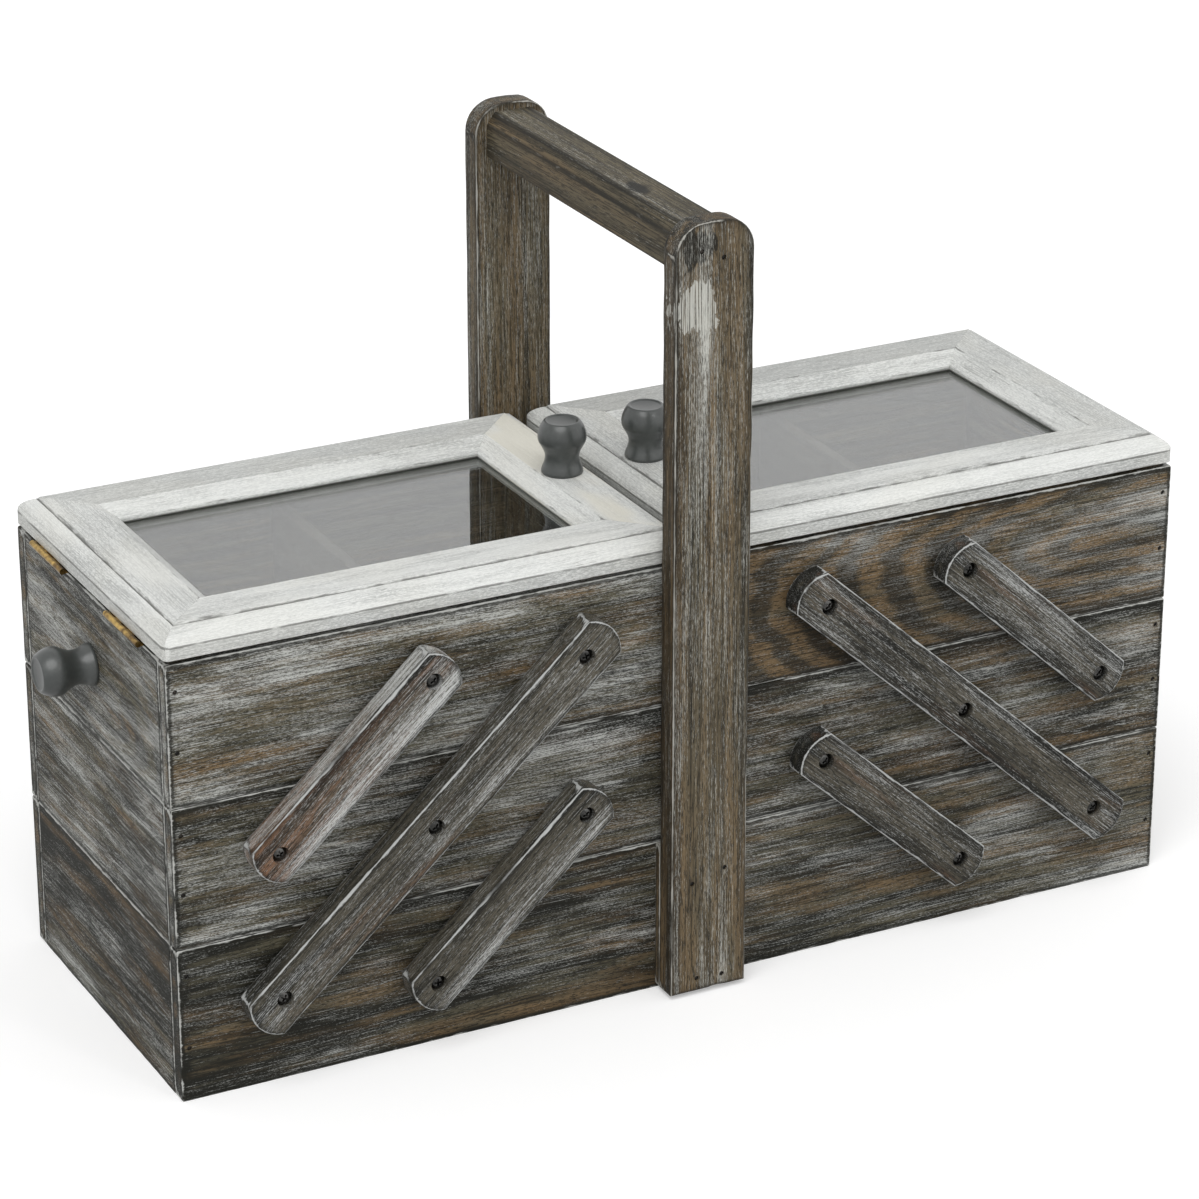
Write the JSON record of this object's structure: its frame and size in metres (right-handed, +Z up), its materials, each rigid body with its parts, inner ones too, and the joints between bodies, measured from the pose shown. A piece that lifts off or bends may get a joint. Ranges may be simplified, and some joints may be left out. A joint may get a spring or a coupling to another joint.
{
  "type": "cantilever sewing box",
  "caption": "Wooden cantilever sewing carrier: a long bottom tray, hinged trays on link arms at both sides, two glazed lids and a fixed carrying handle.",
  "frame": {"origin": "middle of the underside of the bottom tray", "axes": "+X along the box's length, -Y out of the front, +Z up"},
  "size_m": [0.473, 0.177, 0.316],
  "materials": {
    "board_wood": "torched and dry-brushed, worn pale at the edges",
    "handle_wood": "torched and dry-brushed, worn pale at the edges",
    "arm_wood": "torched, worn pale at the edges",
    "lid_wood": "whitewashed, with the grain showing through",
    "inner_wood": "plain, unfinished",
    "pane_glass": "clear, polished",
    "knob_metal": "satin grey",
    "screw_steel": "darkened",
    "nail_steel": "darkened",
    "hinge_brass": "aged"
  },
  "bodies": {
    "base": {"base_front_board": "board_wood", "base_back_board": "board_wood", "base_right_end": "board_wood", "base_left_end": "board_wood", "base_floor": "inner_wood", "base_nails": "nail_steel", "base_pivot_screws": "screw_steel", "handle_front_upright": "handle_wood", "handle_back_upright": "handle_wood", "handle_crossbar": "handle_wood", "handle_spacers": "handle_wood", "handle_nails": "nail_steel"},
    "left_long_arms": {"left_long_arms": "arm_wood"},
    "left_mid_tray": {"left_mid_front_board": "board_wood", "left_mid_back_board": "board_wood", "left_mid_ends": "board_wood", "left_mid_floor": "inner_wood", "left_mid_nails": "nail_steel", "left_mid_pivot_screws": "screw_steel"},
    "left_top_tray": {"left_top_front_board": "board_wood", "left_top_back_board": "board_wood", "left_top_ends": "board_wood", "left_top_floor": "inner_wood", "left_top_divider": "inner_wood", "left_top_nails": "nail_steel", "left_top_screws": "screw_steel", "left_pull_knob": "knob_metal", "left_hinge_tray_leaves": "hinge_brass"},
    "left_lower_arms": {"left_lower_arms": "arm_wood"},
    "left_upper_arms": {"left_upper_arms": "arm_wood"},
    "left_lid": {"left_lid_long_rails": "lid_wood", "left_lid_end_rails": "lid_wood", "left_lid_pane": "pane_glass", "left_lid_knob": "knob_metal", "left_lid_screws": "screw_steel", "left_hinge_lid_leaves": "hinge_brass"},
    "right_long_arms": {"right_long_arms": "arm_wood"},
    "right_mid_tray": {"right_mid_front_board": "board_wood", "right_mid_back_board": "board_wood", "right_mid_ends": "board_wood", "right_mid_floor": "inner_wood", "right_mid_nails": "nail_steel", "right_mid_pivot_screws": "screw_steel"},
    "right_top_tray": {"right_top_front_board": "board_wood", "right_top_back_board": "board_wood", "right_top_ends": "board_wood", "right_top_floor": "inner_wood", "right_top_divider": "inner_wood", "right_top_nails": "nail_steel", "right_top_screws": "screw_steel", "right_pull_knob": "knob_metal", "right_hinge_tray_leaves": "hinge_brass"},
    "right_lower_arms": {"right_lower_arms": "arm_wood"},
    "right_upper_arms": {"right_upper_arms": "arm_wood"},
    "right_lid": {"right_lid_long_rails": "lid_wood", "right_lid_end_rails": "lid_wood", "right_lid_pane": "pane_glass", "right_lid_knob": "knob_metal", "right_lid_screws": "screw_steel", "right_hinge_lid_leaves": "hinge_brass"}
  },
  "joints": [
    {"name": "left_arm_swing", "type": "hinge", "parent": "base", "child": "left_long_arms", "pos_m": [-0.1775, 0, 0.04], "axis": [0, -1, 0], "range_deg": [0, 96]},
    {"name": "left_mid_tray_level", "type": "hinge", "parent": "left_long_arms", "child": "left_mid_tray", "pos_m": [-0.11475, 0, 0.0965], "axis": [0, -1, 0], "range_deg": [-96, 0]},
    {"name": "left_top_tray_level", "type": "hinge", "parent": "left_long_arms", "child": "left_top_tray", "pos_m": [-0.052, 0, 0.153], "axis": [0, -1, 0], "range_deg": [-96, 0]},
    {"name": "left_lower_arm_swing", "type": "hinge", "parent": "base", "child": "left_lower_arms", "pos_m": [-0.11475, 0, 0.0313], "axis": [0, -1, 0], "range_deg": [0, 96]},
    {"name": "left_upper_arm_swing", "type": "hinge", "parent": "left_mid_tray", "child": "left_upper_arms", "pos_m": [-0.1775, 0, 0.0995], "axis": [0, -1, 0], "range_deg": [0, 96]},
    {"name": "left_lid_turn", "type": "hinge", "parent": "left_top_tray", "child": "left_lid", "pos_m": [-0.21665, 0, 0.1784], "axis": [0, -1, 0], "range_deg": [0, 180]},
    {"name": "right_arm_swing", "type": "hinge", "parent": "base", "child": "right_long_arms", "pos_m": [0.1775, 0, 0.04], "axis": [0, 1, 0], "range_deg": [0, 96]},
    {"name": "right_mid_tray_level", "type": "hinge", "parent": "right_long_arms", "child": "right_mid_tray", "pos_m": [0.11475, 0, 0.0965], "axis": [0, 1, 0], "range_deg": [-96, 0]},
    {"name": "right_top_tray_level", "type": "hinge", "parent": "right_long_arms", "child": "right_top_tray", "pos_m": [0.052, 0, 0.153], "axis": [0, 1, 0], "range_deg": [-96, 0]},
    {"name": "right_lower_arm_swing", "type": "hinge", "parent": "base", "child": "right_lower_arms", "pos_m": [0.11475, 0, 0.0313], "axis": [0, 1, 0], "range_deg": [0, 96]},
    {"name": "right_upper_arm_swing", "type": "hinge", "parent": "right_mid_tray", "child": "right_upper_arms", "pos_m": [0.1775, 0, 0.0995], "axis": [0, 1, 0], "range_deg": [0, 96]},
    {"name": "right_lid_turn", "type": "hinge", "parent": "right_top_tray", "child": "right_lid", "pos_m": [0.21665, 0, 0.1784], "axis": [0, 1, 0], "range_deg": [0, 180]}
  ],
  "couplings": [
    {"joint": "left_mid_tray_level", "follows": "left_arm_swing", "ratio": -1},
    {"joint": "left_top_tray_level", "follows": "left_arm_swing", "ratio": -1},
    {"joint": "left_lower_arm_swing", "follows": "left_arm_swing", "ratio": 1},
    {"joint": "left_upper_arm_swing", "follows": "left_arm_swing", "ratio": 1},
    {"joint": "right_mid_tray_level", "follows": "right_arm_swing", "ratio": -1},
    {"joint": "right_top_tray_level", "follows": "right_arm_swing", "ratio": -1},
    {"joint": "right_lower_arm_swing", "follows": "right_arm_swing", "ratio": 1},
    {"joint": "right_upper_arm_swing", "follows": "right_arm_swing", "ratio": 1}
  ]
}
